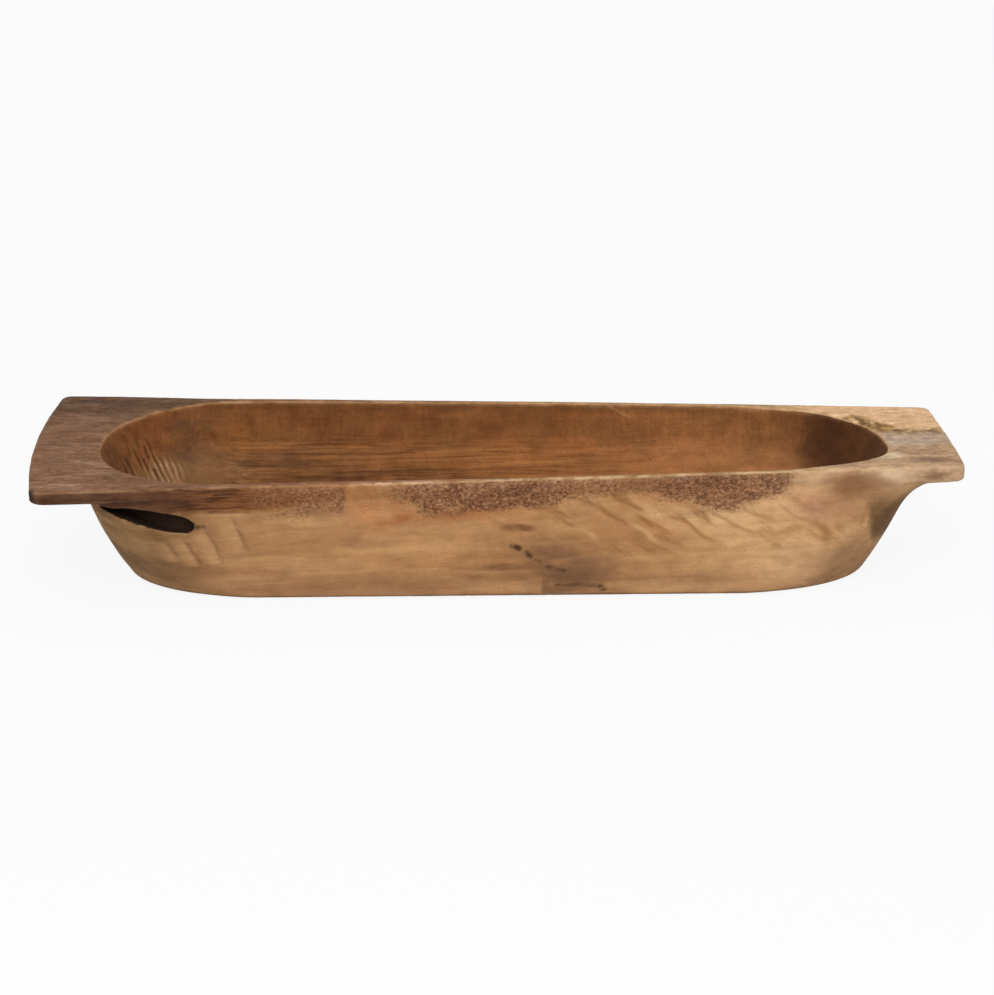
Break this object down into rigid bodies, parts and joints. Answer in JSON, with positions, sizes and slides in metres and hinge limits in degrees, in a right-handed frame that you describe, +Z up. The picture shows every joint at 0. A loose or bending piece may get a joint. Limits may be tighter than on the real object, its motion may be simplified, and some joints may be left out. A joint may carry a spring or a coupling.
{
  "type": "wooden trough",
  "caption": "Long shallow dough trough carved from half a log, with a round-ended hollow, thin side walls and a flat handle at each end.",
  "frame": {"origin": "middle of the trough's bounding box, on the surface that it stands on", "axes": "+X along the trough from its wide end to its narrow end, +Y across it towards the far side in the picture, +Z up"},
  "size_m": [0.964, 0.3424, 0.138],
  "materials": {
    "wood": "old hand-cut wood, worn smooth on the handles and stained below the rim"
  },
  "bodies": {
    "root": {"trough_body": "wood"}
  },
  "joints": []
}
